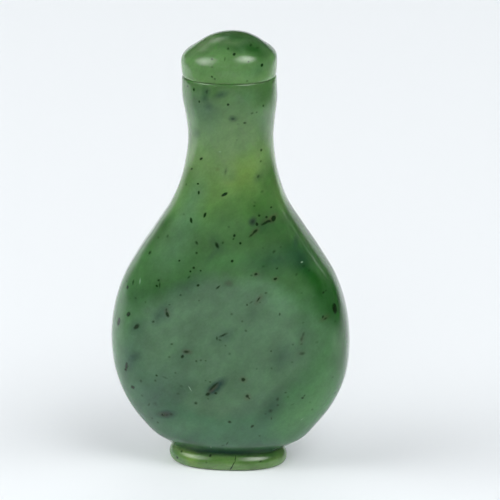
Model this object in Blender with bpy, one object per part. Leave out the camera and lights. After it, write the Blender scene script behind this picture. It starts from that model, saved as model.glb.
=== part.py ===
"""A snuff bottle carved from green jade, with its stopper.

The model is in metres with +Z up. X runs across the broad faces and Y from front to back. The
origin is on the surface that the bottle stands on, under the middle of the belly.

Both pieces are lofted in the same way. Their oval sections are listed along the outline, the
half outline at +X is spun about Z, and each ring is then pressed to its own oval. The sections
are given in millimetres, and the loft turns them to metres.
"""

import math
from collections import namedtuple

import bmesh
import bpy
import numpy as np

MM = 0.001

AROUND = 48  # facets round Z; a multiple of 4 puts corners on the X and Y axes
FINE = 2  # rings for each gap between two sections of a long smooth run
MERGE = 1e-6  # metres

# Overall sizes, in millimetres.
BELLY_WIDTH = 37.64
BELLY_DEPTH = 18.9
NECK_WIDTH = 13.26
NECK_DEPTH = 12.4
LIP_WIDTH = 14.74
LIP_DEPTH = 13.64
LIP_HEIGHT = 62.85  # where the stopper sits down
FOOT_WIDTH = 18.7
FOOT_DEPTH = 12.04
CAP_WIDTH = 14.8
CAP_DEPTH = 13.68
CAP_HEIGHT = 6.78

# Hollowing. The walls stay thick, as those of a drilled and scooped stone bottle are.
WALL = 2.7
FLOOR_HEIGHT = 5.4
MOUTH_RADIUS = 3.6
MOUTH_EASE = 0.25  # the polished edge of the mouth
BORE_END = 47.5  # below this height the bore opens out into the belly

# The shallow recess inside the foot.
FOOT_RECESS = 0.9
FOOT_REST_WIDTH = 1.5

# The plug under the cap hangs in the mouth and doesn't touch it.
SEAT_GAP = 0.3
PLUG_LENGTH = 5.0
PLUG_TOP_RADIUS = 3.15
PLUG_TIP_RADIUS = 2.8

# Squareness is the power of a superellipse: 2 is a true oval, and more has flatter sides.
OVAL = 2.0
SOFT = 2.25
FULL = 2.5
BOXY = 3.0

# One horizontal section. The shift moves its middle along X, as the hand-cut outline does.
Section = namedtuple("Section", "height half_width half_depth squareness shift", defaults=(OVAL, 0.0))

# The bead of the foot, from the edge that it rests on up into the groove under the belly.
FOOT_BEAD = (
    Section(0.00, 8.46, 5.35, SOFT, -0.26),
    Section(0.30, 8.95, 5.75, SOFT, -0.26),
    Section(0.80, 9.25, 5.98, SOFT, -0.31),
    Section(1.40, FOOT_WIDTH / 2, FOOT_DEPTH / 2, SOFT, -0.39),
    Section(1.95, 9.24, 5.80, SOFT, -0.46),
    Section(2.35, 9.00, 5.40, SOFT, -0.50),
    Section(2.60, 8.80, 5.00, SOFT, -0.48),
)

# From just above the groove, round the belly, over the shoulder and up the neck to the lip.
BELLY_TO_LIP = (
    Section(2.95, 9.14, 5.15, SOFT, -0.32),
    Section(3.60, 10.08, 5.75, SOFT, -0.06),
    Section(4.85, 11.98, 6.60, FULL),
    Section(6.90, 13.90, 7.40, FULL, -0.08),
    Section(10.2, 16.30, 8.35, FULL, -0.02),
    Section(14.6, 18.17, 9.10, FULL, 0.06),
    Section(19.8, BELLY_WIDTH / 2, BELLY_DEPTH / 2, FULL),
    Section(25.2, 18.37, 9.40, FULL),
    Section(30.2, 16.83, 9.02, 2.7, -0.02),
    Section(34.8, 14.18, 8.45, BOXY, -0.14),
    Section(39.0, 11.38, 7.82, BOXY, -0.18),
    Section(42.6, 9.12, 7.25, 2.8, -0.15),
    Section(45.8, 7.85, 6.80, FULL, -0.02),
    Section(49.4, 7.01, 6.42, SOFT, 0.06),
    Section(53.4, NECK_WIDTH / 2, NECK_DEPTH / 2, SOFT, 0.12),
    Section(56.6, 6.91, 6.40, SOFT, 0.10),
    Section(59.2, 7.31, 6.74, SOFT),
    Section(61.0, LIP_WIDTH / 2, LIP_DEPTH / 2, SOFT, -0.09),
    Section(62.3, 7.32, 6.76, SOFT, -0.12),
)

# The lip's rounded outer edge, in to the flat that the stopper rests on.
LIP_EDGE = (
    Section(62.68, 7.20, 6.64, SOFT, -0.12),
    Section(LIP_HEIGHT, 6.95, 6.38, SOFT, -0.12),
)

# The stopper's cap, above its own flat underside, from the rim of that flat up to the top.
CAP = (
    Section(0.00, 6.93, 6.38, SOFT, -0.12),
    Section(0.14, 7.14, 6.60, SOFT, -0.12),
    Section(0.70, 7.29, 6.75, SOFT, -0.13),
    Section(1.50, 7.38, 6.83, SOFT, -0.15),
    Section(2.45, CAP_WIDTH / 2, CAP_DEPTH / 2, SOFT, -0.14),
    Section(3.15, 7.28, 6.72, SOFT, -0.06),
    Section(3.75, 6.90, 6.35, SOFT, 0.04),
    Section(4.40, 6.12, 5.62, SOFT, 0.18),
    Section(5.10, 5.12, 4.71, OVAL, 0.24),
    Section(5.70, 4.16, 3.83, OVAL, 0.26),
    Section(6.25, 2.92, 2.69, OVAL, 0.32),
    Section(6.60, 1.60, 1.47, OVAL, 0.38),
    Section(6.74, 0.65, 0.60, OVAL, 0.42),
    Section(CAP_HEIGHT, 0.0, 0.0, OVAL, 0.42),
)


def smooth_run(sections, steps):
    """The sections with more between them on one smooth curve, so that each gap holds `steps`."""
    points = np.array(sections)
    gaps = np.linalg.norm(np.diff(points[:, :3], axis=0), axis=1)[:, None]
    slopes = np.diff(points, axis=0) / gaps
    before, after = np.vstack((gaps[:1], gaps)), np.vstack((gaps, gaps[-1:]))
    slopes_before, slopes_after = np.vstack((slopes[:1], slopes)), np.vstack((slopes, slopes[-1:]))
    tangents = (slopes_before * after + slopes_after * before) / (before + after)
    run = []
    for i, gap in enumerate(gaps):
        for step in range(steps):
            t = step / steps
            value = (1 + 2 * t) * (1 - t) ** 2 * points[i] + t * t * (3 - 2 * t) * points[i + 1]
            value += gap * t * (1 - t) * ((1 - t) * tangents[i] - t * tangents[i + 1])
            run.append(Section(*value))
    run.append(sections[-1])
    return run


def at_height(run, height):
    """The section of a rising run at one height."""
    heights = [s.height for s in run]
    return Section(*(np.interp(height, heights, column) for column in zip(*run)))


def foot_underside():
    """The recess inside the foot, from its middle out to the flat ring that the bottle rests on."""
    edge = FOOT_BEAD[0]
    width = edge.half_width - FOOT_REST_WIDTH
    depth = edge.half_depth - FOOT_REST_WIDTH
    sections = [Section(FOOT_RECESS, 0.0, 0.0, SOFT, edge.shift)]
    for share, inset in ((1.0, 1.4), (0.8, 0.6), (0.4, 0.2), (0.0, 0.0)):
        sections.append(Section(share * FOOT_RECESS, width - inset, depth - inset, SOFT, edge.shift))
    return sections


def cavity(outside):
    """The inside: down the round bore from the mouth, out round the belly and in to the floor."""
    mouth = MOUTH_RADIUS + MOUTH_EASE
    bore = [
        Section(LIP_HEIGHT, mouth, mouth),
        Section(LIP_HEIGHT - MOUTH_EASE, MOUTH_RADIUS, MOUTH_RADIUS),
        Section(BORE_END + PLUG_LENGTH, MOUTH_RADIUS, MOUTH_RADIUS),
    ]
    belly = [Section(BORE_END, MOUTH_RADIUS, MOUTH_RADIUS)]
    for height in (43.0, 39.0, 35.0, 30.5, 25.5, 20.0, 15.0, 11.0):
        skin = at_height(outside, height)
        width = max(skin.half_width - 1.15 * WALL, MOUTH_RADIUS)
        depth = max(skin.half_depth - WALL, MOUTH_RADIUS)
        belly.append(Section(height, width, depth, SOFT))
    lowest = belly[-1]
    for drop, share in ((0.45, 0.86), (0.80, 0.62), (0.96, 0.32)):
        height = lowest.height - drop * (lowest.height - FLOOR_HEIGHT)
        belly.append(Section(height, share * lowest.half_width, share * lowest.half_depth, SOFT))
    belly.append(Section(FLOOR_HEIGHT, 0.0, 0.0, SOFT))
    return bore + smooth_run(belly, FINE)


def lofted(name, sections, material):
    """A closed solid: the half outline spun about Z, each ring then pressed to its own oval."""
    mesh = bmesh.new()
    depth = mesh.verts.layers.float.new("depth")
    power = mesh.verts.layers.float.new("power")
    shift = mesh.verts.layers.float.new("shift")
    outline = []
    for s in sections:
        corner = mesh.verts.new((s.half_width * MM, 0.0, s.height * MM))
        corner[depth] = s.half_depth * MM
        corner[power] = 2.0 / s.squareness
        corner[shift] = s.shift * MM
        outline.append(corner)
    edges = [mesh.edges.new(pair) for pair in zip(outline, outline[1:])]
    bmesh.ops.spin(
        mesh,
        geom=outline + edges,
        cent=(0.0, 0.0, 0.0),
        axis=(0.0, 0.0, 1.0),
        angle=math.tau,
        steps=AROUND,
        use_merge=True,
    )
    for corner in mesh.verts:
        width = math.hypot(corner.co.x, corner.co.y)
        if width > 0.0:
            across, back = corner.co.x / width, corner.co.y / width
            corner.co.x = width * math.copysign(abs(across) ** corner[power], across)
            corner.co.y = corner[depth] * math.copysign(abs(back) ** corner[power], back)
        corner.co.x += corner[shift]
    bmesh.ops.remove_doubles(mesh, verts=mesh.verts, dist=MERGE)
    bmesh.ops.recalc_face_normals(mesh, faces=mesh.faces)
    data = bpy.data.meshes.new(name)
    mesh.to_mesh(data)
    mesh.free()
    data.shade_smooth()
    data.set_sharp_from_angle(angle=math.radians(45))
    data.materials.append(material)
    piece = bpy.data.objects.new(name, data)
    bpy.context.scene.collection.objects.link(piece)
    return piece


def polished_jade(name, colour):
    """Nephrite with a soft waxy polish. The colour is linear red, green and blue."""
    material = bpy.data.materials.new(name)
    material.use_nodes = True
    shader = material.node_tree.nodes["Principled BSDF"]
    shader.inputs["Base Color"].default_value = (*colour, 1.0)
    shader.inputs["Roughness"].default_value = 0.22
    shader.inputs["Metallic"].default_value = 0.0
    shader.inputs["IOR"].default_value = 1.61
    material.diffuse_color = (*colour, 1.0)
    return material


def make_bottle():
    """The bottle, hollowed out of one stone with its foot."""
    outside = smooth_run(BELLY_TO_LIP, FINE)
    sections = [*foot_underside(), *FOOT_BEAD, *outside, *LIP_EDGE, *cavity(outside)]
    return lofted("bottle", sections, polished_jade("bottle_jade", (0.080, 0.190, 0.085)))


def make_stopper():
    """The domed cap, cut in one with its plug. Its own origin is the middle of its underside."""
    plug = [
        Section(-PLUG_LENGTH, 0.0, 0.0),
        Section(-PLUG_LENGTH, 0.82 * PLUG_TIP_RADIUS, 0.82 * PLUG_TIP_RADIUS),
        Section(-0.9 * PLUG_LENGTH, PLUG_TIP_RADIUS, PLUG_TIP_RADIUS),
        Section(0.0, PLUG_TOP_RADIUS, PLUG_TOP_RADIUS),
    ]
    return lofted("stopper", [*plug, *CAP], polished_jade("stopper_jade", (0.095, 0.215, 0.075)))


def main():
    for old in list(bpy.data.objects):
        bpy.data.objects.remove(old)
    whole = bpy.data.objects.new("snuff_bottle", None)
    bpy.context.scene.collection.objects.link(whole)
    bottle = make_bottle()
    bottle.parent = whole
    stopper = make_stopper()
    stopper.parent = bottle
    stopper.location.z = (LIP_HEIGHT + SEAT_GAP) * MM


main()
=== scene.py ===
"""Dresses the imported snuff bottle: its polished jade, the table that it stands on, and the light."""

import math
from collections import namedtuple

import bmesh
import bpy
import numpy as np
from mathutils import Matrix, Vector


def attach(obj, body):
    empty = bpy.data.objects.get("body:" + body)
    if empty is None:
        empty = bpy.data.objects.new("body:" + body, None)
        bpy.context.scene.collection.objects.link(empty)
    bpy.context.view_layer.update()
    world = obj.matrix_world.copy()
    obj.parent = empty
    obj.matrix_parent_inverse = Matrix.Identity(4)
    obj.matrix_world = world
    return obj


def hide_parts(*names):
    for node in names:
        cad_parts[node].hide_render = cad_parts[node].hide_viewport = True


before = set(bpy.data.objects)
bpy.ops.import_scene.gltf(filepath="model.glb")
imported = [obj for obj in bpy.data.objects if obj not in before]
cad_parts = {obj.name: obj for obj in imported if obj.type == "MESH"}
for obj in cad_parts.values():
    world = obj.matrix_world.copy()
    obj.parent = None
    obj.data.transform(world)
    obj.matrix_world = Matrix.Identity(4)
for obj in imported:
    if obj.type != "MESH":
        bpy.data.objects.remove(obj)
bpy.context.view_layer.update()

MM = 0.001
MERGE = 1e-6  # metres

# ---------------------------------------------------------------------------------------------
# The outline, in millimetres, as the solids have it, but for a finer lip edge, cap and foot bead.
# Squareness is the power of a superellipse: 2 is a true oval, and more has flatter sides. The
# shift moves a section's middle along X, as the hand-cut outline does.

OVAL = 2.0
SOFT = 2.25
FULL = 2.5
BOXY = 3.0

Section = namedtuple("Section", "height half_width half_depth squareness shift", defaults=(OVAL, 0.0))

AROUND = 192  # facets round Z
SHARP = math.radians(45)  # edges that turn more than this stay crisp

# How far apart the rings of each smooth run are, about.
ROW = 0.45
BEAD_ROW = 0.15
CAP_ROW = 0.3
CAVITY_ROW = 1.2

# Hollowing. The walls stay thick, as those of a drilled and scooped stone bottle are.
WALL = 2.7
SIDE_WALL = 1.15 * WALL  # at the narrow sides
FLOOR_HEIGHT = 5.4
LIP_HEIGHT = 62.98
MOUTH_RADIUS = 3.6
MOUTH_EASE = 0.25  # the polished edge of the mouth
EASE_MIDDLE = 0.3 * MOUTH_EASE  # how far the rounding of that edge lies in at its middle
BORE_END = 47.5  # below this height the bore opens out into the belly
CAVITY_HEIGHTS = (43.0, 39.0, 35.0, 30.5, 25.5, 20.0, 15.0, 11.0)

# The bottom of the hollow: share of the way down from the last of those heights to the floor,
# and share of its width that is left.
CAVITY_BOWL = ((0.45, 0.86), (0.80, 0.62), (0.96, 0.32))

# The shallow recess inside the foot, and its slope from the level middle out to the ring: share
# of its depth, and distance from the ring.
FOOT_RECESS = 0.9
FOOT_REST_WIDTH = 1.5
RECESS_SLOPE = (
    (1.0, 2.4),
    (1.0, 1.4),
    (0.93, 0.9),
    (0.8, 0.6),
    (0.6, 0.36),
    (0.4, 0.2),
    (0.15, 0.05),
    (0.0, 0.0),
)

# The plug under the cap hangs in the mouth and doesn't touch it. Its tip, from the middle out and
# up: share of the plug's length, and share of the tip's radius.
SEAT_GAP = 0.005
SEAT_HEIGHT = LIP_HEIGHT + SEAT_GAP  # the cap's underside
PLUG_LENGTH = 5.0
PLUG_TOP_RADIUS = 3.15
PLUG_TIP_RADIUS = 2.8
PLUG_TIP = ((1.0, 0.0), (1.0, 0.5), (1.0, 0.82), (0.96, 0.95), (0.9, 1.0))

# The bead of the foot, from the edge that it rests on up into the groove under the belly.
FOOT_BEAD = (
    Section(0.00, 8.46, 5.35, SOFT, -0.26),
    Section(0.30, 8.95, 5.75, SOFT, -0.26),
    Section(0.80, 9.25, 5.98, SOFT, -0.31),
    Section(1.40, 9.35, 6.02, SOFT, -0.39),
    Section(1.62, 9.32, 5.94, SOFT, -0.42),
    Section(2.12, 9.13, 5.61, SOFT, -0.48),
    Section(2.38, 8.97, 5.38, SOFT, -0.50),
    Section(2.60, 8.80, 5.00, SOFT, -0.48),
)

# From just above the groove, round the belly, over the shoulder and up the neck to the lip.
BELLY_TO_LIP = (
    Section(2.95, 9.14, 5.15, SOFT, -0.32),
    Section(3.60, 10.08, 5.75, SOFT, -0.06),
    Section(4.85, 11.98, 6.60, FULL),
    Section(6.90, 13.90, 7.40, FULL, -0.08),
    Section(10.2, 16.30, 8.35, FULL, -0.02),
    Section(14.6, 18.17, 9.10, FULL, 0.06),
    Section(19.8, 18.82, 9.45, FULL),
    Section(25.2, 18.37, 9.40, FULL),
    Section(30.2, 16.83, 9.02, 2.7, -0.02),
    Section(34.8, 14.18, 8.45, BOXY, -0.14),
    Section(39.0, 11.38, 7.82, BOXY, -0.18),
    Section(42.6, 9.12, 7.25, 2.8, -0.15),
    Section(45.8, 7.85, 6.80, FULL, -0.02),
    Section(49.4, 7.01, 6.42, SOFT, 0.06),
    Section(53.4, 6.63, 6.20, SOFT, 0.12),
    Section(56.6, 6.91, 6.40, SOFT, 0.10),
    Section(59.2, 7.31, 6.74, SOFT),
    Section(61.0, 7.37, 6.82, SOFT, -0.09),
    Section(62.3, 7.32, 6.76, SOFT, -0.12),
)

# The lip's rounded outer edge, in to the flat that the stopper rests on.
LIP_EDGE = (
    Section(62.70, 7.29, 6.73, SOFT, -0.12),
    Section(62.89, 7.22, 6.66, SOFT, -0.12),
    Section(LIP_HEIGHT, 7.10, 6.54, SOFT, -0.12),
)

# The stopper's cap, above its own flat underside, from the rim of that flat up to the top.
CAP = (
    Section(0.00, 7.10, 6.55, SOFT, -0.12),
    Section(0.09, 7.20, 6.66, SOFT, -0.12),
    Section(0.70, 7.31, 6.78, SOFT, -0.13),
    Section(1.50, 7.38, 6.83, SOFT, -0.15),
    Section(2.45, 7.40, 6.74, SOFT, -0.14),
    Section(3.15, 7.28, 6.48, SOFT, -0.06),
    Section(3.75, 6.90, 6.16, SOFT, 0.04),
    Section(4.40, 6.12, 5.68, SOFT, 0.18),
    Section(5.12, 5.14, 4.95, OVAL, 0.24),
    Section(5.76, 4.18, 4.07, OVAL, 0.26),
    Section(6.35, 2.94, 2.86, OVAL, 0.32),
    Section(6.71, 1.60, 1.56, OVAL, 0.38),
    Section(6.84, 0.65, 0.63, OVAL, 0.42),
    Section(6.87, 0.0, 0.0, OVAL, 0.42),
)


def smooth_run(sections, row):
    """The sections with more between them on one smooth curve, about a row's height apart."""
    points = np.array(sections)
    gaps = np.linalg.norm(np.diff(points[:, :3], axis=0), axis=1)[:, None]
    slopes = np.diff(points, axis=0) / gaps
    before = np.vstack((gaps[:1], gaps))
    after = np.vstack((gaps, gaps[-1:]))
    slopes_before = np.vstack((slopes[:1], slopes))
    slopes_after = np.vstack((slopes, slopes[-1:]))
    tangents = (slopes_before * after + slopes_after * before) / (before + after)
    run = []
    for i, gap in enumerate(gaps):
        steps = max(2, round(gap[0] / row))
        for step in range(steps):
            t = step / steps
            value = (1 + 2 * t) * (1 - t) ** 2 * points[i] + t * t * (3 - 2 * t) * points[i + 1]
            value += gap * t * (1 - t) * ((1 - t) * tangents[i] - t * tangents[i + 1])
            run.append(Section(*value))
    run.append(sections[-1])
    return run


def at_height(run, height):
    """The section of a rising run at one height."""
    heights = [s.height for s in run]
    return Section(*(np.interp(height, heights, column) for column in zip(*run)))


def foot_underside():
    """The recess inside the foot, from its middle out to the flat ring that the bottle rests on."""
    edge = FOOT_BEAD[0]
    width = edge.half_width - FOOT_REST_WIDTH
    depth = edge.half_depth - FOOT_REST_WIDTH
    sections = [Section(FOOT_RECESS, 0.0, 0.0, SOFT, edge.shift)]
    for share, inset in RECESS_SLOPE:
        sections.append(Section(share * FOOT_RECESS, width - inset, depth - inset, SOFT, edge.shift))
    return sections


def cavity(outside):
    """The inside: down the round bore from the mouth, out round the belly and in to the floor."""
    mouth = MOUTH_RADIUS + MOUTH_EASE
    eased = MOUTH_RADIUS + EASE_MIDDLE
    bore = [
        Section(LIP_HEIGHT, mouth, mouth),
        Section(LIP_HEIGHT - EASE_MIDDLE, eased, eased),
        Section(LIP_HEIGHT - MOUTH_EASE, MOUTH_RADIUS, MOUTH_RADIUS),
        Section(BORE_END + PLUG_LENGTH, MOUTH_RADIUS, MOUTH_RADIUS),
    ]
    belly = [Section(BORE_END, MOUTH_RADIUS, MOUTH_RADIUS)]
    for height in CAVITY_HEIGHTS:
        skin = at_height(outside, height)
        width = max(skin.half_width - SIDE_WALL, MOUTH_RADIUS)
        depth = max(skin.half_depth - WALL, MOUTH_RADIUS)
        belly.append(Section(height, width, depth, SOFT))
    lowest = belly[-1]
    for drop, share in CAVITY_BOWL:
        height = lowest.height - drop * (lowest.height - FLOOR_HEIGHT)
        belly.append(Section(height, share * lowest.half_width, share * lowest.half_depth, SOFT))
    belly.append(Section(FLOOR_HEIGHT, 0.0, 0.0, SOFT))
    return bore + smooth_run(belly, CAVITY_ROW)


def lofted(name, sections, base_height=0.0):
    """A closed solid: the half outline spun about Z, each ring then pressed to its own oval."""
    mesh = bmesh.new()
    depth = mesh.verts.layers.float.new("depth")
    power = mesh.verts.layers.float.new("power")
    shift = mesh.verts.layers.float.new("shift")
    outline = []
    for s in sections:
        corner = mesh.verts.new((s.half_width * MM, 0.0, (base_height + s.height) * MM))
        corner[depth] = s.half_depth * MM
        corner[power] = 2.0 / s.squareness
        corner[shift] = s.shift * MM
        outline.append(corner)
    edges = [mesh.edges.new(pair) for pair in zip(outline, outline[1:])]
    bmesh.ops.spin(
        mesh,
        geom=outline + edges,
        cent=(0.0, 0.0, 0.0),
        axis=(0.0, 0.0, 1.0),
        angle=math.tau,
        steps=AROUND,
        use_merge=True,
    )
    for corner in mesh.verts:
        width = math.hypot(corner.co.x, corner.co.y)
        if width > 0.0:
            across = corner.co.x / width
            back = corner.co.y / width
            corner.co.x = width * math.copysign(abs(across) ** corner[power], across)
            corner.co.y = corner[depth] * math.copysign(abs(back) ** corner[power], back)
        corner.co.x += corner[shift]
    bmesh.ops.remove_doubles(mesh, verts=mesh.verts, dist=MERGE)
    bmesh.ops.recalc_face_normals(mesh, faces=mesh.faces)
    data = bpy.data.meshes.new(name)
    mesh.to_mesh(data)
    mesh.free()
    data.shade_smooth()
    data.set_sharp_from_angle(angle=SHARP)
    piece = bpy.data.objects.new(name, data)
    bpy.context.scene.collection.objects.link(piece)
    return piece


def make_bottle(foot, outside):
    """The bottle, hollowed out of one stone with its foot."""
    sections = [*foot_underside(), *foot, *outside, *LIP_EDGE, *cavity(outside)]
    return lofted("jade_bottle", sections)


def make_stopper(crown):
    """The domed cap, cut in one with its plug."""
    plug = []
    for share, size in PLUG_TIP:
        radius = size * PLUG_TIP_RADIUS
        plug.append(Section(-share * PLUG_LENGTH, radius, radius))
    plug.append(Section(0.0, PLUG_TOP_RADIUS, PLUG_TOP_RADIUS))
    return lofted("jade_stopper", [*plug, *crown], SEAT_HEIGHT)


# ---------------------------------------------------------------------------------------------
# The jade. On the front, what lies in the stone is laid out one by one, in millimetres. Round the
# sides and on the back it comes of itself.


def linear(hex_colour):
    """An sRGB hex colour as the linear colour that a socket takes."""
    values = [int(hex_colour[i : i + 2], 16) / 255 for i in (1, 3, 5)]
    return (*(v / 12.92 if v <= 0.04045 else ((v + 0.055) / 1.055) ** 2.4 for v in values), 1.0)


def add(tree, kind, inputs=(), **settings):
    """Adds a shader node with its settings; each input is a value or the socket that feeds it."""
    node = tree.nodes.new("ShaderNode" + kind)
    for name, value in settings.items():
        setattr(node, name, value)
    for name, value in dict(inputs).items():
        if isinstance(value, bpy.types.NodeSocket):
            tree.links.new(value, node.inputs[name])
        else:
            node.inputs[name].default_value = value
    return node


# The stone's own colours, as they lie under the gloss. Some of the marks laid in them are painted
# light, as said at each.
PALE_MIDDLE_AND_PAINTED_VEIL = "#4d6c50"  # the pale round middle of the belly, with part of the sheet's reflection painted in
PALE = "#567a5a"
PAINTED_ARC_REFLECTION = "#627f56"  # painted reflection: the soft arc of light over the cap
MOSS = "#6a883c"
VIVID = "#4a7a48"
DEEP = "#174a14"
MIST = "#435f4f"
SMUDGE_AND_SHADE = "#1f3b31"  # smudges, most of them round a grain, and the painted shade in the groove over the foot
RUST = "#4a4130"  # iron stains on and beside the grains
GRAIN = "#0d260a"
SCAR = "#7d9a80"

# How the ground colour runs up the bottle: height in millimetres and colour. The pale stop at the
# bottom is a painted reflection of the floor on the foot's lower band, and the dark stops at 2.7 and
# 3.5 are painted shade in the groove under the belly.
GROUND = (
    (0.0, "#698755"),
    (1.6, "#4f7139"),
    (2.7, "#436336"),
    (3.5, "#36563e"),
    (4.8, "#3f654b"),
    (9.0, "#40694a"),
    (14.0, "#3f6644"),
    (20.0, "#416742"),
    (29.0, "#406640"),
    (32.0, "#42683e"),
    (35.0, "#40683c"),
    (38.0, "#41643a"),
    (41.0, "#476c3f"),
    (44.0, "#557a42"),
    (47.0, "#597a44"),
    (50.0, "#638150"),
    (53.0, "#5f7c51"),
    (56.0, "#5d7b51"),
    (59.0, "#54744c"),
    (61.0, "#4d6f43"),
    (62.98, "#486a3e"),
)
CAP_GROUND = (
    (62.98, "#577d46"),
    (65.0, "#597e4d"),
    (66.6, "#567a4a"),
    (68.0, "#4a7041"),
    (69.75, "#42663c"),
)

# Clouds in the stone, as X and Z of the middle, half length and half width in millimetres, the
# slant in degrees up to the right, and the strength. Above 1 a cloud has a level middle.
# The first is the pale round middle of the belly: paler stone, with part of the white sheet's
# reflection painted over it as a pale veil.
PALE_MIDDLE_AND_PAINTED_VEIL_CLOUDS = ((-1.0, 21.2, 12.4, 10.2, 0, 5.0),)

# Paler patches at the rim of that middle, on the shoulder, the flanks and the foot. The two at the
# left end of the foot paint in part of the highlight and the bright rim there.
PALE_CLOUDS = (
    (9.2, 28.8, 3.2, 2.2, -44, 1.00),
    (5.6, 31.8, 3.6, 1.5, -4, 0.80),
    (-5.6, 43.6, 5.6, 2.4, 72, 0.55),
    (-7.8, 36.8, 5.6, 2.8, 58, 0.55),
    (-4.2, 45.4, 2.6, 1.6, 70, 0.20),
    (5.2, 23.6, 4.4, 2.0, 20, 0.30),
    (-17.6, 20.0, 7.0, 1.5, 92, 0.60),
    (-15.0, 21.6, 5.6, 1.8, 90, 0.28),
    (13.0, 21.8, 7.0, 2.6, 84, 0.46),
    (3.0, 19.2, 3.4, 2.0, 20, 0.30),
    (-7.4, 1.8, 2.6, 1.2, -30, 0.60),
    (-8.6, 1.9, 1.6, 1.0, 0, 0.50),
    (-6.0, 7.6, 3.0, 1.6, 10, 0.30),
    (-2.8, 55.2, 3.4, 2.4, 60, 0.25),
    (3.2, 61.0, 2.2, 1.4, 0, 0.40),
)
# Yellow green on the neck and the foot.
MOSS_CLOUDS = (
    (3.2, 49.2, 4.0, 2.6, 70, 0.55),
    (0.8, 46.8, 2.6, 1.6, 40, 0.20),
    (-6.8, 1.9, 3.0, 1.2, -20, 0.80),
)
# A clearer green low on the right, and over the middle.
VIVID_CLOUDS = (
    (12.2, 10.2, 6.4, 4.0, 44, 0.95),
    (15.8, 16.6, 6.0, 2.4, 66, 0.55),
    (-0.6, 34.8, 4.0, 1.8, 20, 0.30),
)
# Deep green down the right edge, across the shoulder and up the right of the neck.
DEEP_CLOUDS = (
    (17.9, 26.6, 5.8, 2.0, 104, 1.00),
    (14.9, 29.2, 4.4, 2.0, 112, 0.85),
    (12.4, 34.0, 4.6, 2.2, -50, 1.05),
    (18.2, 21.0, 5.2, 1.2, 92, 0.85),
    (-9.6, 30.8, 6.6, 2.6, 14, 0.34),
    (5.4, 44.6, 5.0, 2.8, 36, 0.46),
    (6.8, 47.8, 2.8, 1.4, 70, 0.45),
    (0.6, 43.2, 4.4, 1.6, 8, 0.18),
    (8.2, 40.0, 5.6, 2.7, -50, 0.48),
    (4.2, 39.4, 4.0, 2.0, 20, 0.18),
    (5.9, 60.9, 2.6, 1.6, 84, 0.30),
    (7.2, 2.3, 1.6, 0.7, 0, 0.50),
    (-5.6, 49.0, 3.0, 1.6, 80, 0.22),
    (-9.4, 40.6, 1.8, 0.9, 60, 0.40),
    (6.0, 54.8, 3.0, 1.1, 88, 0.26),
    (6.4, 50.5, 3.0, 1.4, 84, 0.14),
    (-1.2, 61.4, 2.2, 1.2, 20, 0.10),
)
# Blue-grey drifts low on the left, and on the neck.
MIST_CLOUDS = (
    (-12.0, 12.6, 8.6, 4.6, 40, 0.85),
    (-15.4, 18.4, 4.8, 2.6, 64, 0.80),
    (-13.6, 22.6, 5.0, 2.6, 50, 0.12),
    (5.6, 13.4, 2.8, 1.5, 30, 0.26),
    (3.2, 11.0, 2.6, 1.4, 20, 0.34),
    (-3.6, 58.8, 3.4, 2.2, -62, 0.50),
    (-5.0, 56.0, 2.8, 1.5, 80, 0.30),
    (6.0, 56.2, 2.4, 1.6, 88, 0.36),
)
# Smudges. The first is painted shade: the dark of the groove over the foot, under the belly.
SMUDGE_AND_SHADE_CLOUDS = (
    (-0.4, 3.05, 11.0, 0.68, 0, 1.25),
    (-0.9, 15.3, 1.9, 0.85, 42, 1.30),
    (-1.9, 14.4, 1.5, 1.10, 60, 0.70),
    (-9.4, 9.6, 1.7, 0.8, 12, 0.90),
    (-8.8, 10.4, 4.4, 1.9, 30, 0.42),
    (-14.4, 18.9, 1.5, 0.9, 20, 0.55),
    (-15.0, 17.4, 1.6, 0.9, 60, 0.50),
    (-13.7, 24.0, 1.9, 1.1, 40, 0.50),
    (-10.2, 26.2, 2.0, 1.1, 58, 0.65),
    (-8.8, 27.0, 1.7, 1.0, 80, 0.35),
    (-5.6, 31.2, 4.4, 1.6, 32, 0.30),
    (-6.2, 20.2, 2.2, 1.5, 50, 0.34),
    (-6.8, 14.2, 3.0, 1.4, 46, 0.30),
    (9.0, 20.2, 2.8, 1.6, 66, 0.48),
    (12.0, 21.4, 3.0, 1.2, 62, 0.22),
    (12.2, 24.6, 3.0, 1.0, 76, 0.22),
    (7.4, 11.6, 3.6, 1.7, 62, 0.55),
    (4.4, 27.0, 1.1, 0.9, 20, 0.25),
    (0.2, 23.4, 2.2, 1.1, 28, 0.48),
    (0.7, 31.9, 0.9, 0.8, 0, 0.30),
    (4.3, 41.5, 0.74, 0.66, 60, 1.15),
    (6.0, 41.0, 2.6, 1.1, 36, 0.28),
    (-1.1, 38.0, 2.0, 1.1, -50, 0.36),
    (8.2, 35.6, 5.6, 2.6, 10, 0.58),
    (12.0, 35.2, 2.8, 1.8, -50, 0.36),
    (-2.9, 61.7, 0.9, 0.7, 70, 0.60),
    (-3.2, 60.6, 0.7, 0.6, 0, 0.60),
    (-2.6, 59.4, 0.8, 0.7, 0, 0.50),
    (-0.6, 61.4, 1.3, 0.6, 20, 0.75),
    (1.2, 57.6, 0.7, 0.55, 0, 0.80),
    (-4.7, 54.6, 0.9, 0.7, 60, 0.35),
    (5.0, 48.1, 1.1, 0.7, 60, 0.45),
    (1.0, 48.2, 1.5, 0.9, 20, 0.22),
    (0.1, 49.2, 0.9, 0.4, 76, 0.25),
    (-1.8, 36.2, 1.7, 0.5, 52, 0.30),
    (10.8, 38.0, 1.0, 0.5, 88, 0.45),
)
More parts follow.
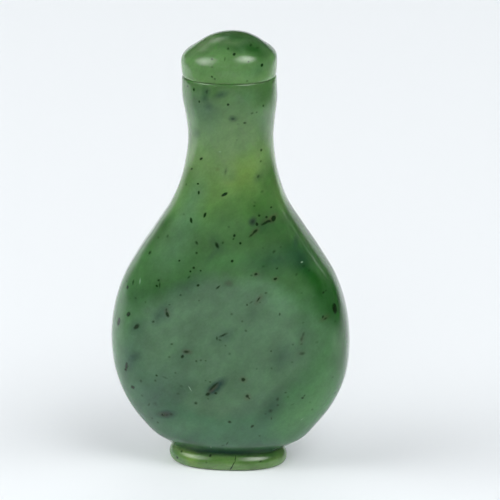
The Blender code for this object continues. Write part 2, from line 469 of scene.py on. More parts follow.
# Iron stains.
RUST_CLOUDS = (
    (-1.7, 14.7, 1.3, 0.40, 45, 0.60),
    (3.1, 16.45, 0.7, 0.62, 0, 0.45),
    (3.75, 13.5, 0.7, 0.60, 60, 0.50),
    (-5.7, 20.7, 0.9, 0.45, 0, 0.55),
    (-9.6, 9.6, 1.2, 0.50, 10, 0.40),
    (-8.9, 26.8, 0.8, 0.50, 100, 0.40),
    (5.5, 29.5, 1.1, 0.40, 55, 0.45),
    (8.0, 32.65, 0.6, 0.40, 18, 0.45),
    (5.0, 33.4, 0.6, 0.45, 20, 0.40),
    (0.8, 31.9, 0.7, 0.50, 0, 0.30),
    (12.15, 22.9, 1.1, 0.45, 74, 0.25),
    (12.0, 20.7, 1.0, 0.55, 5, 0.15),
    (15.5, 25.95, 0.9, 0.45, 30, 0.42),
    (6.6, 41.6, 1.4, 0.50, 24, 0.38),
    (4.3, 41.5, 0.8, 0.70, 60, 0.25),
    (4.7, 39.9, 1.0, 0.40, 42, 0.55),
    (7.4, 41.7, 0.8, 0.60, 50, 0.45),
    (-1.2, 49.4, 0.4, 0.40, 0, 0.35),
)

# Dark grains of iron ore in the stone: X, Z, length, width, slant and darkness.
GRAINS = (
    # the right edge of the belly, where the largest one is
    (16.9, 27.0, 1.40, 0.84, 98, 1.8), (15.2, 29.9, 0.35, 0.32, 0, 0.8),
    (15.55, 30.05, 0.30, 0.22, 20, 0.5), (15.2, 26.2, 0.45, 0.28, 80, 0.7),
    (15.6, 25.85, 0.65, 0.30, 20, 0.55), (17.0, 25.0, 0.40, 0.35, 60, 0.3),
    (12.2, 34.3, 0.50, 0.40, 30, 0.35), (13.0, 33.5, 0.40, 0.35, 60, 0.30),
    (11.2, 33.2, 0.50, 0.35, 80, 0.30), (12.0, 30.3, 0.35, 0.30, 0, 0.2),
    (12.3, 25.6, 0.35, 0.30, 0, 0.2), (12.35, 23.75, 0.90, 0.32, 68, 0.30),
    (12.1, 23.0, 0.70, 0.40, 72, 0.35), (12.05, 22.2, 0.50, 0.35, 20, 0.25),
    # the left edge of the belly
    (-14.6, 30.65, 0.80, 0.35, 72, 0.5), (-15.6, 29.6, 0.62, 0.38, 70, 0.8),
    (-15.8, 30.4, 0.35, 0.25, 70, 0.4), (-15.3, 25.55, 0.80, 0.54, 55, 1.3),
    (-17.1, 23.8, 1.20, 0.44, 76, 1.8), (-13.9, 23.85, 1.25, 0.60, 42, 0.95),
    (-15.7, 17.0, 1.00, 0.46, 84, 1.3), (-15.9, 16.3, 0.50, 0.42, 40, 1.2),
    (-14.8, 13.45, 0.66, 0.56, 30, 1.2), (-13.3, 14.95, 0.48, 0.40, 80, 0.4),
    (-14.1, 28.35, 0.40, 0.35, 0, 0.25), (-12.4, 28.05, 0.40, 0.30, 70, 0.25),
    (-11.9, 35.6, 0.70, 0.40, 45, 0.6),
    # the belly, left of the middle
    (-10.55, 30.8, 0.34, 0.32, 0, 1.0), (-10.3, 31.7, 0.45, 0.36, 20, 0.6),
    (-10.1, 31.05, 0.95, 0.24, 88, 0.5), (-11.15, 25.1, 0.50, 0.36, 30, 0.5),
    (-8.85, 26.5, 0.84, 0.46, 108, 0.95), (-9.0, 27.2, 0.45, 0.34, 90, 0.45),
    (-8.5, 28.05, 0.42, 0.20, 10, 0.35), (-6.75, 29.7, 0.38, 0.34, 0, 0.45),
    (-4.0, 31.4, 0.42, 0.34, 38, 1.1), (-5.25, 33.5, 0.34, 0.32, 0, 0.95),
    (-4.7, 34.1, 0.42, 0.36, 40, 0.8), (-5.45, 32.6, 0.62, 0.30, 46, 0.45),
    (-7.0, 35.1, 0.36, 0.30, 45, 0.8), (-3.6, 33.7, 0.32, 0.30, 0, 0.65),
    (-0.85, 31.2, 0.78, 0.28, 40, 0.75), (-3.8, 29.05, 0.30, 0.25, 0, 0.3),
    (-8.15, 21.75, 0.46, 0.30, 5, 0.5), (-6.45, 19.85, 0.56, 0.44, 50, 0.9),
    (-5.8, 20.7, 0.85, 0.42, 4, 0.6), (-8.55, 19.6, 0.45, 0.36, 10, 0.3),
    (-7.6, 17.05, 0.36, 0.32, 0, 0.3), (-4.2, 19.2, 0.36, 0.34, 0, 0.45),
    (-3.55, 19.4, 0.34, 0.30, 40, 0.35), (-2.8, 19.35, 0.38, 0.26, 0, 0.35),
    (-10.65, 16.3, 0.40, 0.36, 0, 0.55), (-10.9, 15.4, 0.38, 0.34, 0, 0.35),
    (-9.3, 16.1, 1.00, 0.40, -18, 0.22), (-4.45, 12.1, 0.54, 0.48, 20, 0.55),
    (-6.75, 14.9, 0.60, 0.45, 0, 0.2), (-7.25, 13.5, 0.60, 0.40, 0, 0.25),
    (-9.9, 9.45, 0.62, 0.42, 10, 0.9), (-9.2, 9.55, 0.60, 0.40, 20, 0.4),
    (-8.5, 9.75, 0.52, 0.46, 0, 0.45), (-11.75, 8.4, 0.42, 0.36, 0, 0.4),
    (-10.85, 7.8, 0.44, 0.40, 0, 0.5), (-12.15, 10.95, 0.80, 0.36, 56, 0.35),
    (-13.2, 12.35, 0.50, 0.42, 0, 0.25), (-11.1, 11.3, 0.90, 0.70, 20, 0.15),
    # the dark smear low in the middle
    (-1.45, 15.25, 1.45, 0.34, 45, 0.75), (-2.0, 14.6, 0.80, 0.28, 45, 0.45),
    (-2.5, 13.75, 0.72, 0.52, 30, 0.9), (-1.25, 13.95, 0.50, 0.40, 0, 0.65),
    (-2.45, 12.95, 0.26, 0.24, 0, 0.4), (-2.1, 15.85, 0.36, 0.30, 0, 0.4),
    (-2.8, 16.05, 0.30, 0.26, 0, 0.25),
    # the belly, right of the middle
    (3.1, 16.45, 0.62, 0.54, 40, 0.9), (3.7, 13.65, 0.56, 0.50, 60, 0.9),
    (3.95, 13.3, 0.40, 0.28, -50, 0.5), (0.8, 9.0, 0.48, 0.44, 0, 0.75),
    (4.35, 8.3, 0.62, 0.40, 52, 0.8), (5.45, 6.5, 0.42, 0.36, 70, 0.3),
    (1.3, 35.36, 0.44, 0.38, 45, 1.0), (5.0, 33.4, 0.46, 0.38, 25, 1.05),
    (4.3, 33.2, 0.40, 0.30, 10, 0.35), (8.0, 32.65, 0.52, 0.32, 18, 1.05),
    (8.2, 34.3, 0.42, 0.28, 45, 0.5), (6.1, 34.65, 0.50, 0.32, 20, 0.25),
    (5.45, 29.5, 0.85, 0.26, 60, 0.7), (6.6, 30.47, 0.42, 0.34, 30, 0.4),
    (5.7, 28.98, 0.34, 0.26, 40, 0.25), (3.7, 28.6, 0.30, 0.28, 0, 0.65),
    (4.3, 28.98, 0.65, 0.26, 34, 0.3), (1.3, 27.06, 0.40, 0.36, 0, 0.3),
    (2.95, 25.93, 0.36, 0.32, 0, 0.3), (3.5, 24.47, 0.40, 0.36, 0, 0.38),
    (0.0, 23.65, 1.35, 0.36, 28, 0.62), (-1.0, 23.1, 0.55, 0.32, 95, 0.55),
    (-0.5, 22.87, 0.52, 0.34, -20, 0.38), (8.7, 27.1, 0.46, 0.28, 85, 0.5),
    (0.35, 21.97, 0.36, 0.32, 0, 0.3), (1.0, 20.65, 0.40, 0.36, 0, 0.25),
    (7.45, 21.2, 0.28, 0.28, 0, 0.5), (5.2, 18.3, 0.34, 0.28, 60, 0.25),
    (7.5, 18.35, 0.34, 0.30, 0, 0.28), (12.2, 20.65, 0.90, 0.50, 5, 0.4),
    (10.75, 22.2, 0.36, 0.32, 0, 0.28), (10.65, 19.3, 0.40, 0.34, 0, 0.25),
    (14.4, 22.3, 0.50, 0.34, 20, 0.2), (12.2, 13.15, 0.42, 0.36, 30, 0.7),
    (12.45, 13.5, 0.40, 0.26, 55, 0.5), (9.65, 14.25, 0.40, 0.26, 5, 0.38),
    (10.0, 13.5, 0.38, 0.36, 60, 0.3), (8.4, 13.1, 0.66, 0.44, 80, 0.45),
    (8.4, 12.1, 0.46, 0.40, 0, 0.35), (7.25, 11.1, 0.64, 0.50, 50, 0.42),
    (7.35, 9.7, 0.52, 0.24, 85, 0.45), (6.45, 10.55, 0.40, 0.34, 0, 0.28),
    (13.6, 10.8, 0.40, 0.34, 60, 0.3), (13.3, 12.2, 0.36, 0.32, 0, 0.2),
    (16.75, 16.05, 0.44, 0.30, 20, 0.25), (17.0, 12.9, 0.36, 0.26, 60, 0.5),
    (10.65, 12.1, 0.70, 0.24, 25, 0.22),
    # the shoulder
    (-4.3, 46.9, 0.36, 0.26, 10, 1.1), (-4.15, 45.6, 0.50, 0.30, 80, 1.0),
    (-6.35, 46.35, 0.36, 0.32, 60, 0.3), (-0.07, 45.6, 0.92, 0.38, 28, 1.2),
    (-3.1, 42.3, 0.78, 0.34, 66, 1.0), (-5.25, 41.35, 0.84, 0.36, 106, 1.05),
    (-6.5, 42.05, 0.35, 0.30, 0, 0.22), (-4.3, 37.95, 0.66, 0.42, 118, 0.55),
    (-4.3, 36.45, 0.40, 0.36, 0, 0.55), (-1.1, 37.7, 1.00, 0.50, 116, 0.74),
    (-0.2, 38.15, 0.40, 0.34, 60, 0.4), (-9.0, 38.5, 0.52, 0.44, 80, 0.32),
    (-10.6, 38.0, 0.42, 0.36, 60, 0.25), (0.65, 40.6, 0.42, 0.34, 0, 0.25),
    (5.3, 42.35, 0.44, 0.38, 0, 0.7), (4.3, 41.45, 0.84, 0.66, 60, 0.32),
    (5.0, 41.05, 0.50, 0.38, 110, 1.3), (7.45, 41.7, 0.86, 0.62, 56, 1.4),
    (6.8, 41.4, 0.72, 0.36, -10, 0.7), (6.4, 42.0, 0.42, 0.34, 0, 0.9),
    (6.35, 41.2, 0.80, 0.40, 22, 0.75), (5.9, 41.0, 0.60, 0.36, 22, 0.55),
    (4.75, 39.95, 0.90, 0.38, 44, 0.85), (4.2, 39.4, 0.90, 0.30, 40, 0.55),
    (1.55, 39.3, 0.44, 0.34, 70, 0.85), (1.4, 38.8, 0.38, 0.26, 30, 0.5),
    (2.5, 38.15, 0.36, 0.34, 0, 0.9), (7.0, 43.3, 0.27, 0.27, 0, 0.85),
    (4.5, 43.8, 0.38, 0.32, 20, 0.45), (4.6, 44.3, 0.40, 0.30, 0, 0.2),
    (7.7, 36.85, 0.64, 0.42, 46, 0.45), (5.6, 45.8, 0.50, 0.40, 20, 0.3),
    (6.0, 37.4, 0.32, 0.26, 0, 0.25), (8.7, 37.5, 0.34, 0.28, 0, 0.25),
    # the neck
    (-6.05, 62.0, 0.34, 0.32, 0, 0.6), (-4.97, 61.75, 0.54, 0.36, 86, 0.7),
    (-2.8, 61.75, 0.60, 0.36, 72, 0.35), (-4.03, 60.0, 0.42, 0.28, 88, 0.9),
    (0.5, 59.85, 0.36, 0.34, 0, 1.0), (1.2, 57.55, 0.50, 0.40, 10, 0.35),
    (3.0, 56.85, 0.52, 0.34, 5, 0.6), (1.95, 56.7, 0.40, 0.28, 0, 0.2),
    (4.1, 58.35, 0.42, 0.36, 0, 0.38), (4.75, 58.4, 0.32, 0.26, 30, 0.38),
    (5.7, 59.3, 0.42, 0.28, 86, 0.65), (-3.85, 50.8, 0.56, 0.30, 36, 1.05),
    (-5.45, 48.9, 0.42, 0.30, 30, 0.7), (5.35, 52.15, 0.46, 0.30, 86, 0.65),
    (5.3, 50.45, 0.38, 0.34, 60, 0.4), (0.1, 49.2, 1.00, 0.32, 76, 0.25),
    (5.0, 48.2, 0.60, 0.36, 64, 0.4), (1.75, 54.15, 0.32, 0.26, 0, 0.2),
    # where the belly meets the foot, and the foot with its hairline crack
    (0.25, 4.95, 0.80, 0.22, 62, 0.5), (-0.45, 4.55, 0.60, 0.24, 14, 0.45),
    (-2.6, 2.35, 0.38, 0.30, 30, 0.9), (-7.4, 2.35, 0.40, 0.32, 0, 0.6),
    (-8.1, 1.3, 0.40, 0.36, 70, 0.7), (-3.15, 1.4, 0.36, 0.30, 0, 0.3),
    (5.35, 1.6, 0.50, 0.26, 10, 0.5), (1.42, 2.1, 1.10, 0.17, 94, 0.65),
    (1.18, 1.35, 0.80, 0.17, 58, 0.65), (0.78, 0.6, 1.10, 0.20, 62, 0.8),
)

# What lies in the cap, laid out in the same ways.
CAP_GRAINS = (
    (1.3, 67.5, 0.44, 0.38, 0, 1.1), (0.3, 68.2, 0.36, 0.34, 0, 0.5), (3.6, 68.45, 0.42, 0.36, 60, 0.5),
    (5.5, 65.7, 0.46, 0.36, 66, 1.1), (-0.1, 66.85, 0.60, 0.22, 86, 0.35),
    (-2.0, 64.15, 0.36, 0.34, 0, 0.65), (-1.55, 63.85, 0.36, 0.34, 0, 0.45),
    (-2.05, 66.75, 0.36, 0.28, 0, 0.5), (3.55, 66.45, 0.26, 0.24, 0, 0.5),
    (3.35, 63.5, 0.34, 0.30, 0, 0.3), (4.6, 68.0, 0.60, 0.34, 30, 0.3),
    (-2.0, 65.6, 0.34, 0.30, 0, 0.2),
)
CAP_DEEP_CLOUDS = (
    (1.4, 69.7, 4.4, 0.72, -2, 0.85),
    (4.3, 68.0, 2.6, 1.3, -34, 0.74),
    (5.2, 66.2, 2.4, 1.9, -56, 0.42),
    (1.4, 68.1, 2.8, 0.8, -6, 0.45),
)
CAP_MIST_CLOUDS = (
    (5.0, 64.8, 2.4, 1.2, 10, 0.30),
    (2.4, 68.0, 1.5, 0.8, 0, 0.25),
)
# Painted reflection: the soft arc over the top of the cap, which the dim box behind also draws in the
# polish.
CAP_PAINTED_ARC_REFLECTION_CLOUDS = (
    (-3.6, 68.4, 3.0, 0.9, 32, 0.90),
    (0.4, 68.9, 3.2, 0.42, -2, 0.55),
    (5.8, 65.4, 1.8, 2.2, 0, 0.15),
)

# Small pale scratches and chips from handling, laid out as the grains are.
SCARS = (
    (-5.3, 14.55, 1.05, 0.15, -60, 0.9), (-13.4, 31.1, 1.00, 0.28, 84, 0.5),
    (11.9, 34.9, 0.38, 0.24, 10, 0.9), (-0.85, 52.2, 0.46, 0.22, 0, 0.5),
    (12.0, 9.2, 0.60, 0.14, 40, 0.5), (-2.4, 4.0, 0.22, 0.40, 0, 0.5),
)


# How soft each kind of mark is: how deep it reaches through the skin in millimetres, how far out
# it fades as a share of its listed size, and how much its strength is raised.
Softness = namedtuple("Softness", "through size gain")
CLOUD = Softness(6.0, 1.25, 1.0)
SPECK = Softness(0.6, 0.72, 2.0)
SCRATCH = Softness(0.4, 0.62, 1.6)

# The stone isn't layered evenly, so a cloud's place wanders over a swirl's size, by about half of
# the reach. Both are in millimetres.
Swirl = namedtuple("Swirl", "size reach")
DRIFTING = Swirl(5.0, 3.4)
RAGGED = Swirl(0.7, 0.22)

# The felted fibres, which lie along one slant: size in millimetres, detail, and how much lighter
# or darker they make the stone.
SLANT = math.radians(42.0)
STRETCH = 1.35
FELT = ((3.2, 2.0, 0.12), (1.1, 2.0, 0.055), (0.32, 1.0, 0.05))

# Where clouds and grains come of themselves: none at the first Y in millimetres, all at the second.
SIDE_STARTS = -2.4
SIDE_IN_FULL = 0.3

# The clouds that do: colour, size in millimetres, an offset that sets each apart, and strength.
# They lie where the noise is high.
STREWN_CLOUDS = ((MIST, 9.0, 3.0, 0.7), (MOSS, 11.0, 11.0, 0.45), (DEEP, 6.0, 19.0, 0.55))
CLOUD_EDGE = 0.48
CLOUD_IN_FULL = 0.68

# The grains that do: two sizes, by the gaps between them in millimetres, each up to a share of its
# gap wide. A share of the places stays empty.
GRAIN_GAPS = (2.3, 1.3)
GRAIN_REACH = 0.22
EMPTY_PLACES = 0.3
GRAIN_CRISPNESS = 16.0

# The polish. Its roughness runs between two values in patches, and the softer fibres lie a hair
# deeper than the harder ones, which gives it a faint orange peel. Sizes are in millimetres.
NEPHRITE_IOR = 1.61
SMOOTHEST = 0.13
ROUGHEST = 0.20
POLISH_PATCH = 3.0
PEEL_SIZE = 1.1
PEEL_HEIGHT = 0.03
PEEL_STRENGTH = 0.25

# How far red, green and blue light go into the stone, in millimetres, and how much of it does.
LIGHT_REACH = (0.5, 1.2, 0.4)
LIGHT_SHARE = 0.8

# A mark at the outline is laid this share of the half width out.
FLANK = 0.98

# Nearly all of a noise's values lie between these.
NOISE_LOW = 0.3
NOISE_HIGH = 0.7


def skin_depth(run, x, z):
    """The Y of the front of the outside, in millimetres, at one X and Z."""
    s = at_height(run, z)
    across = min(abs((x - s.shift) / s.half_width), FLANK)
    return -s.half_depth * (1.0 - across**s.squareness) ** (1.0 / s.squareness)


def marks(tree, place, run, table, softness):
    """Slanted ovals with soft edges, laid in the skin of the stone and added up."""
    total = 0.0
    for x, z, length, width, slant, strength in table:
        laid = {
            "Vector": place,
            "Location": (x, skin_depth(run, x, z), z),
            "Rotation": (0.0, -math.radians(slant), 0.0),
            "Scale": (softness.size * length, softness.through, softness.size * width),
        }
        oval = add(tree, "Mapping", laid, vector_type="TEXTURE").outputs[0]
        fade = add(tree, "TexGradient", {"Vector": oval}, gradient_type="SPHERICAL").outputs["Fac"]
        summed = {0: fade, 1: softness.gain * strength, 2: total}
        total = add(tree, "Math", summed, operation="MULTIPLY_ADD").outputs[0]
    return add(tree, "Clamp", {"Value": total}).outputs[0]


def wandering(tree, place, swirl):
    """The place, moved about by soft noise, so that what is laid there has wandering edges."""
    noise = {"Vector": place, "Scale": 1 / swirl.size, "Detail": 2.0}
    noise = add(tree, "TexNoise", noise).outputs["Color"]
    centred = {0: noise, 1: (0.5, 0.5, 0.5)}
    centred = add(tree, "VectorMath", centred, operation="SUBTRACT").outputs[0]
    shift = add(tree, "VectorMath", {0: centred, 3: swirl.reach}, operation="SCALE").outputs[0]
    return add(tree, "VectorMath", {0: place, 1: shift}, operation="ADD").outputs[0]


def set_stops(ramp, places, colours):
    """Gives a colour ramp its stops."""
    stops = ramp.color_ramp.elements
    while len(stops) < len(places):
        stops.new(0.5)
    for stop, place, colour in zip(stops, places, colours):
        stop.position = place
        stop.color = colour


def ground_colour(tree, place, ground):
    """The colour of the stone without its clouds, from the bottom up."""
    height = add(tree, "SeparateXYZ", {0: place}).outputs["Z"]
    low = ground[0][0]
    high = ground[-1][0]
    rise = add(tree, "MapRange", {"Value": height, "From Min": low, "From Max": high}).outputs[0]
    ramp = add(tree, "ValToRGB", {"Fac": rise})
    places = [(level - low) / (high - low) for level, tone in ground]
    set_stops(ramp, places, [linear(tone) for level, tone in ground])
    return ramp.outputs["Color"]


def felted(tree, along, colour):
    """The colour with the mottling that the felted fibres give it."""
    for size, detail, reach in FELT:
        felt = add(tree, "TexNoise", {"Vector": along, "Scale": 1 / size, "Detail": detail}).outputs[0]
        spread = {"Value": felt, "From Min": NOISE_LOW, "From Max": NOISE_HIGH}
        spread.update({"To Min": 1 - reach, "To Max": 1 + reach})
        shade = add(tree, "MapRange", spread).outputs[0]
        colour = add(tree, "VectorMath", {0: colour, 3: shade}, operation="SCALE").outputs[0]
    return colour


def strewn_clouds(tree, along, behind, colour):
    """The colour with the clouds that come of themselves."""
    for tone, size, offset, most in STREWN_CLOUDS:
        far = {0: along, 1: (offset, offset, offset)}
        far = add(tree, "VectorMath", far, operation="ADD").outputs[0]
        cloud = add(tree, "TexNoise", {"Vector": far, "Scale": 1 / size, "Detail": 2.0}).outputs[0]
        cloud = {"Value": cloud, "From Min": CLOUD_EDGE, "From Max": CLOUD_IN_FULL, "To Max": most}
        cloud = add(tree, "MapRange", cloud).outputs[0]
        cloud = add(tree, "Math", {0: cloud, 1: behind}, operation="MULTIPLY").outputs[0]
        mixed = {"Factor": cloud, 6: colour, 7: linear(tone)}
        colour = add(tree, "Mix", mixed, data_type="RGBA").outputs[2]
    return colour


def strewn_grains(tree, along, behind, ore):
    """How much grain there is at each place, with those that come of themselves."""
    for gap in GRAIN_GAPS:
        cells = add(tree, "TexVoronoi", {"Vector": along, "Scale": 1 / gap})
        chance = add(tree, "SeparateColor", {0: cells.outputs["Color"]}).outputs["Red"]
        reach = {"Value": chance, "From Min": EMPTY_PLACES, "To Min": 0.0, "To Max": GRAIN_REACH}
        reach = add(tree, "MapRange", reach).outputs[0]
        inside = {0: reach, 1: cells.outputs["Distance"]}
        inside = add(tree, "Math", inside, operation="SUBTRACT").outputs[0]
        grain = {0: inside, 1: GRAIN_CRISPNESS}
        grain = add(tree, "Math", grain, operation="MULTIPLY", use_clamp=True).outputs[0]
        grain = add(tree, "Math", {0: grain, 1: behind}, operation="MULTIPLY").outputs[0]
        ore = add(tree, "Math", {0: ore, 1: grain}, operation="MAXIMUM").outputs[0]
    return ore


def jade(name, run, ground, clouds, grains, scars):
    """Nephrite, carved and polished by hand: a tough green stone with a soft waxy gloss.

    The light goes a little way into it, so that edges and the thin foot glow. Clouds of paler
    and deeper green drift through its felted fibres, and small dark grains lie along one slant.
    Some of the colour is painted light: shade in the groove over the foot, the floor's reflection
    on the foot's lower band, part of the sheet's pale veil on the belly, part of the highlight at
    the foot's left end, and the soft arc of reflection over the cap.
    """
    material = bpy.data.materials.new(name)
    material.use_nodes = True
    tree = material.node_tree
    shader = tree.nodes["Principled BSDF"]
    place = add(tree, "TexCoord").outputs["Object"]
    mm = add(tree, "VectorMath", {0: place, 3: 1 / MM}, operation="SCALE").outputs[0]
    drifting = wandering(tree, mm, DRIFTING)
    ragged = wandering(tree, mm, RAGGED)
    slanted = {"Vector": ragged, "Rotation": (0.0, -SLANT, 0.0), "Scale": (STRETCH, 1.0, 1.0)}
    along = add(tree, "Mapping", slanted, vector_type="TEXTURE").outputs[0]
    back = add(tree, "SeparateXYZ", {0: mm}).outputs["Y"]
    behind = {"Value": back, "From Min": SIDE_STARTS, "From Max": SIDE_IN_FULL}
    behind = add(tree, "MapRange", behind, interpolation_type="SMOOTHSTEP").outputs[0]

    colour = ground_colour(tree, drifting, ground)
    for tone, table in clouds:
        where = ragged if tone in (SMUDGE_AND_SHADE, PALE, PAINTED_ARC_REFLECTION, RUST) else drifting
        mixed = {"Factor": marks(tree, where, run, table, CLOUD), 6: colour, 7: linear(tone)}
        colour = add(tree, "Mix", mixed, data_type="RGBA").outputs[2]
    colour = felted(tree, along, colour)
    colour = strewn_clouds(tree, along, behind, colour)
    ore = strewn_grains(tree, along, behind, marks(tree, ragged, run, grains, SPECK))
    mixed = {"Factor": ore, 6: colour, 7: linear(GRAIN)}
    colour = add(tree, "Mix", mixed, data_type="RGBA").outputs[2]
    if scars:
        mixed = {"Factor": marks(tree, mm, run, scars, SCRATCH), 6: colour, 7: linear(SCAR)}
        colour = add(tree, "Mix", mixed, data_type="RGBA").outputs[2]
    tree.links.new(colour, shader.inputs["Base Color"])

    polish = {"Vector": mm, "Scale": 1 / POLISH_PATCH, "Detail": 4.0}
    polish = add(tree, "TexNoise", polish).outputs[0]
    gloss = {"Value": polish, "From Min": NOISE_LOW, "From Max": NOISE_HIGH}
    gloss.update({"To Min": SMOOTHEST, "To Max": ROUGHEST})
    tree.links.new(add(tree, "MapRange", gloss).outputs[0], shader.inputs["Roughness"])
    peel = add(tree, "TexNoise", {"Vector": mm, "Scale": 1 / PEEL_SIZE, "Detail": 2.0}).outputs[0]
    peel = {"Height": peel, "Strength": PEEL_STRENGTH, "Distance": PEEL_HEIGHT * MM}
    tree.links.new(add(tree, "Bump", peel).outputs[0], shader.inputs["Normal"])
    shader.inputs["IOR"].default_value = NEPHRITE_IOR
    shader.inputs["Subsurface Weight"].default_value = LIGHT_SHARE
    shader.inputs["Subsurface Radius"].default_value = LIGHT_REACH
    shader.inputs["Subsurface Scale"].default_value = 1.0 * MM
    return material


# ---------------------------------------------------------------------------------------------
# The two pieces

foot = smooth_run(FOOT_BEAD, BEAD_ROW)
outside = smooth_run(BELLY_TO_LIP, ROW)
crown = smooth_run(CAP, CAP_ROW)
bottle = make_bottle(foot, outside)
stopper = make_stopper(crown)

# The skins that the marks are laid in.
foot_to_lip = [*foot, *outside]
cap = [s._replace(height=s.height + SEAT_HEIGHT) for s in crown]
bottle_clouds = (
    (PALE_MIDDLE_AND_PAINTED_VEIL, PALE_MIDDLE_AND_PAINTED_VEIL_CLOUDS),
    (PALE, PALE_CLOUDS),
    (MOSS, MOSS_CLOUDS),
    (VIVID, VIVID_CLOUDS),
    (MIST, MIST_CLOUDS),
    (DEEP, DEEP_CLOUDS),
    (SMUDGE_AND_SHADE, SMUDGE_AND_SHADE_CLOUDS),
    (RUST, RUST_CLOUDS),
)
cap_clouds = ((PAINTED_ARC_REFLECTION, CAP_PAINTED_ARC_REFLECTION_CLOUDS), (MIST, CAP_MIST_CLOUDS), (DEEP, CAP_DEEP_CLOUDS))
bottle_jade = jade("polished_jade", foot_to_lip, GROUND, bottle_clouds, GRAINS, SCARS)
cap_jade = jade("cap_jade", cap, CAP_GROUND, cap_clouds, CAP_GRAINS, ())
bottle.data.materials.append(bottle_jade)
stopper.data.materials.append(cap_jade)

for piece, node in ((bottle, "bottle"), (stopper, "stopper")):
    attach(piece, "root")
    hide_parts(node)


# ---------------------------------------------------------------------------------------------
# The table

# The white sheet under the bottle and behind it. It looks evenly white, but its colour in the polish
# is painted: bright along a strip, with painted shade beside it. That painted reflection lies in the
# polish as a pale veil and as the bright rims, so each row says how far forward (less than 0) or
# back it is in metres, how far left the middle of the painted strip lies there, half the strip's
# width, and how brightly it shows in the polish.
SHEET = (
    (-3.0, 0.0, 0.30, 0.15),
    (-1.2, 0.0, 0.16, 0.30),
    (-0.6, 0.0, 0.11, 0.32),
    (-0.3, 0.0, 0.10, 0.32),
    (-0.12, 0.0, 0.14, 0.30),
    (-0.03, 0.06, 0.20, 0.25),
    (-0.005, 0.10, 0.24, 0.85),
    (0.03, 0.14, 0.29, 1.15),
    (0.15, 0.25, 0.45, 1.15),
    (0.3, 0.39, 0.60, 1.0),
    (0.5, 0.49, 0.75, 0.95),
    (0.9, 0.66, 1.09, 0.95),
)
SHEET_FRONT = SHEET[0][0]
SHEET_BACK = SHEET[-1][0]  # from here it curves up
SHEET_SIDE = 2.0
SWEEP_RADIUS = 0.3
SWEEP_STEPS = 10
SOFT_EDGE = (0.80, 1.25)  # of the painted strip's half width
BOARD_WHITE = "#e6eaed"


def swept_sheet():
    """The sheet's mesh: a level strip, turned up a quarter round at its back edge."""
    sheet = bmesh.new()
    corners = [sheet.verts.new((x, SHEET_FRONT, 0.0)) for x in (-SHEET_SIDE, SHEET_SIDE)]
    edge = sheet.edges.new(corners)
    level = bmesh.ops.extrude_edge_only(sheet, edges=[edge])["geom"]
    back_corners = [part for part in level if isinstance(part, bmesh.types.BMVert)]
    back_edge = [part for part in level if not isinstance(part, bmesh.types.BMFace)]
    bmesh.ops.translate(sheet, verts=back_corners, vec=(0.0, SHEET_BACK - SHEET_FRONT, 0.0))
    bmesh.ops.spin(
        sheet,
        geom=back_edge,
        cent=(0.0, SHEET_BACK, SWEEP_RADIUS),
        axis=(1.0, 0.0, 0.0),
        angle=math.pi / 2,
        steps=SWEEP_STEPS,
    )
    bmesh.ops.remove_doubles(sheet, verts=sheet.verts, dist=MERGE)
    bmesh.ops.recalc_face_normals(sheet, faces=sheet.faces)
    data = bpy.data.meshes.new("white_sheet")
    sheet.to_mesh(data)
    sheet.free()
    data.shade_smooth()
    return data


def white_board():
    """Matt white board. In the polish it is painted: bright along a strip, dark beside it."""
    material = bpy.data.materials.new("white_board")
    material.use_nodes = True
    tree = material.node_tree
    shader = tree.nodes["Principled BSDF"]
    at = add(tree, "SeparateXYZ", {0: add(tree, "TexCoord").outputs["Object"]})

    # The ramp holds the strip's half width, brightness and offset to the left as red, green, blue.
    along = {"Value": at.outputs["Y"], "From Min": SHEET_FRONT, "From Max": SHEET_BACK}
    along = add(tree, "MapRange", along).outputs[0]
    strip = add(tree, "ValToRGB", {"Fac": along})
    places = [(y - SHEET_FRONT) / (SHEET_BACK - SHEET_FRONT) for y, left, half_width, glow in SHEET]
    set_stops(strip, places, [(half_width, glow, left, 1.0) for y, left, half_width, glow in SHEET])
    strip = add(tree, "SeparateColor", {0: strip.outputs["Color"]})

    off = {0: at.outputs["X"], 1: strip.outputs["Blue"]}
    off = add(tree, "Math", off, operation="ADD").outputs[0]
    off = add(tree, "Math", {0: off}, operation="ABSOLUTE").outputs[0]
    off = add(tree, "Math", {0: off, 1: strip.outputs["Red"]}, operation="DIVIDE").outputs[0]
    # Painted reflection and shade: in the polish the board is as bright as the row says inside the
    # strip, and black beyond its soft edge.
    strip_painted_in_polish = {"Value": off, "From Min": SOFT_EDGE[0], "From Max": SOFT_EDGE[1]}
    strip_painted_in_polish.update({"To Min": strip.outputs["Green"], "To Max": 0.0})
    strip_painted_in_polish = add(tree, "MapRange", strip_painted_in_polish, interpolation_type="SMOOTHSTEP").outputs[0]
    in_polish = add(tree, "LightPath").outputs["Is Glossy Ray"]
    share = add(tree, "MapRange", {"Value": in_polish, "To Min": 1.0, "To Max": strip_painted_in_polish}).outputs[0]
    white = {0: linear(BOARD_WHITE)[:3], 3: share}
    white = add(tree, "VectorMath", white, operation="SCALE").outputs[0]
    tree.links.new(white, shader.inputs["Base Color"])
    shader.inputs["Roughness"].default_value = 0.9
    shader.inputs["Specular IOR Level"].default_value = 0.0
    return material


scene = bpy.context.scene
white_sheet = bpy.data.objects.new("white_sheet", swept_sheet())
white_sheet.data.materials.append(white_board())
scene.collection.objects.link(white_sheet)


# ---------------------------------------------------------------------------------------------
# The light and the camera

MIDDLE = Vector((0.0, 0.0, 35 * MM))  # of the bottle
SOFT_BOX_DISTANCE = 2.0

# The white room round it, of which little shows in the polish.
ROOM_WHITE = "#f7fbff"
ROOM = 0.07
ROOM_IN_POLISH = 0.04

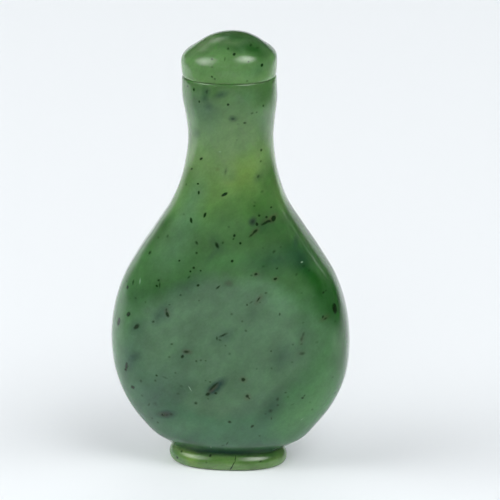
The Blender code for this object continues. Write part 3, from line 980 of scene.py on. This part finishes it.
CAMERA_AZIMUTH = 6.5
CAMERA_ELEVATION = 16.0
CAMERA_DISTANCE = 0.6
AIM_RIGHT = 3.09 * MM  # from the bottle's middle
AIM_DOWN = 0.27 * MM
LENS = 275.4
SENSOR_WIDTH = 36.0


def outward(azimuth, elevation):
    """A direction away from the bottle. Azimuth 0 is in front, and more is towards +X."""
    a = math.radians(azimuth)
    e = math.radians(elevation)
    return Vector((math.sin(a) * math.cos(e), -math.cos(a) * math.cos(e), math.sin(e)))


def soft_box(name, azimuth, elevation, width, height, watts):
    """A soft box that faces the bottle, brightest in its middle as its lamp makes it."""
    light = bpy.data.lights.new(name, "AREA")
    light.shape = "RECTANGLE"
    light.size = width
    light.size_y = height
    light.energy = watts
    light.use_nodes = True
    tree = light.node_tree
    across = add(tree, "NewGeometry").outputs["Parametric"]
    centred = {"Vector": across, "Location": (0.5, 0.5, 0.0), "Scale": (0.5, 0.5, 1.0)}
    centred = add(tree, "Mapping", centred, vector_type="TEXTURE").outputs[0]
    glow = add(tree, "TexGradient", {"Vector": centred}, gradient_type="SPHERICAL").outputs["Fac"]
    tree.links.new(glow, tree.nodes["Emission"].inputs["Strength"])
    lamp = bpy.data.objects.new(name, light)
    back = outward(azimuth, elevation)
    lamp.location = MIDDLE + SOFT_BOX_DISTANCE * back
    lamp.rotation_euler = back.to_track_quat("Z", "Y").to_euler()
    scene.collection.objects.link(lamp)
    return lamp


def white_room():
    """The world: a plain white room."""
    room = bpy.data.worlds.new("white_room")
    room.use_nodes = True
    tree = room.node_tree
    in_polish = add(tree, "LightPath").outputs["Is Glossy Ray"]
    strength = {"Value": in_polish, "To Min": ROOM, "To Max": ROOM_IN_POLISH}
    strength = add(tree, "MapRange", strength).outputs[0]
    tree.links.new(strength, tree.nodes["Background"].inputs["Strength"])
    tree.nodes["Background"].inputs["Color"].default_value = linear(ROOM_WHITE)
    return room


def front_camera():
    """The camera, a little to the right of the front and above it."""
    data = bpy.data.cameras.new("camera")
    data.lens = LENS
    data.sensor_width = SENSOR_WIDTH
    data.clip_end = 20.0
    camera = bpy.data.objects.new("camera", data)
    back = outward(CAMERA_AZIMUTH, CAMERA_ELEVATION)
    a = math.radians(CAMERA_AZIMUTH)
    right = Vector((math.cos(a), math.sin(a), 0.0))
    aim = MIDDLE + AIM_RIGHT * right - AIM_DOWN * back.cross(right)
    camera.location = aim + CAMERA_DISTANCE * back
    camera.rotation_euler = back.to_track_quat("Z", "Y").to_euler()
    scene.collection.objects.link(camera)
    return camera


# Two large soft boxes show in the polish as the long highlights on the cap and the foot. A dim one
# behind to the left draws the arc over the top of the cap, which is also painted into the cap's
# colour. A low one on the left whitens that flank, and a slim one draws the thin line inside the
# right shoulder's rim.
soft_box("soft_box_right", 44, 50, 1.9, 1.5, 64.0)
soft_box("soft_box_left", -55, 40, 2.1, 1.5, 54.0)
soft_box("dim_box_back", -150, 47, 1.1, 0.9, 4.0)
soft_box("low_box_left", -125, 5, 1.4, 0.8, 2.5)
soft_box("slim_box_right", 131, 13.5, 0.2, 0.26, 0.40)

# Low panels lift the shadow round the foot. They are left out of every reflection, so none of
# them shows in the polish.
for name, azimuth, elevation, width, height, watts in (
    ("low_panel_front", 0, 18, 3.0, 1.6, 63.0),
    ("low_panel_left", -85, 24, 2.4, 1.6, 81.0),
    ("low_panel_right", 85, 24, 2.4, 1.6, 72.0),
    ("panel_back", 180, 35, 2.6, 1.8, 34.0),
):
    soft_box(name, azimuth, elevation, width, height, watts).visible_glossy = False

scene.world = white_room()
scene.camera = front_camera()
scene.view_settings.view_transform = "Standard"
